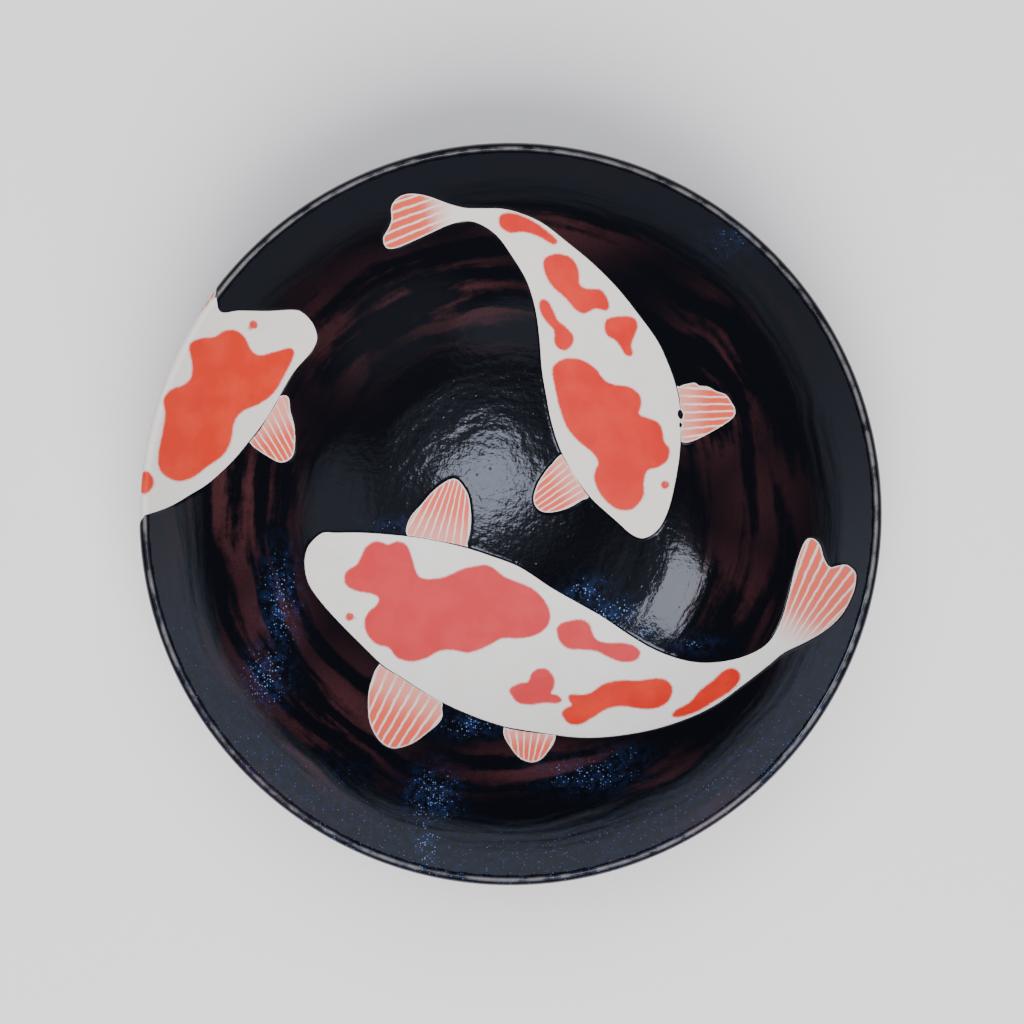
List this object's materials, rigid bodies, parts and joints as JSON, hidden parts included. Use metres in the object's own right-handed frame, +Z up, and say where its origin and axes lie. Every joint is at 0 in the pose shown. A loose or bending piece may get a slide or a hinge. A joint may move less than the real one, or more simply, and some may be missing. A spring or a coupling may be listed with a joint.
{
  "type": "koi serving bowl",
  "caption": "Shallow round porcelain bowl with white and red koi painted into a gloss black glaze, on a bare foot ring.",
  "frame": {"origin": "middle of the foot ring's resting edge, on the bowl's turning axis", "axes": "+Z up along the turning axis, +X from the left koi across to the lower koi's tail, +Y towards the upper koi's tail"},
  "size_m": [0.2499, 0.25, 0.0517],
  "materials": {
    "porcelain": "matte",
    "black_glaze": "gloss",
    "white_slip": "satin",
    "fin_wash": "satin",
    "red_stain": "satin"
  },
  "bodies": {
    "root": {"black_glaze_coat": "black_glaze", "bowl_body": "porcelain", "foot_ring": "porcelain", "left_koi_body": "white_slip", "left_koi_eye": "red_stain", "left_koi_far_fin": "fin_wash", "left_koi_fin": "fin_wash", "left_koi_lip_spot": "red_stain", "left_koi_outer_rear": "white_slip", "left_koi_patch": "red_stain", "lower_koi_belly_fin": "fin_wash", "lower_koi_body": "white_slip", "lower_koi_eye": "red_stain", "lower_koi_patch_1": "red_stain", "lower_koi_patch_2": "red_stain", "lower_koi_patch_3": "red_stain", "lower_koi_patch_4": "red_stain", "lower_koi_patch_5": "red_stain", "lower_koi_side_fin": "fin_wash", "lower_koi_top_fin": "fin_wash", "recess_glaze": "black_glaze", "upper_koi_body": "white_slip", "upper_koi_eye": "red_stain", "upper_koi_left_fin": "fin_wash", "upper_koi_patch_1": "red_stain", "upper_koi_patch_2": "red_stain", "upper_koi_patch_3": "red_stain", "upper_koi_patch_4": "red_stain", "upper_koi_patch_5": "red_stain", "upper_koi_right_fin": "fin_wash"}
  },
  "joints": []
}
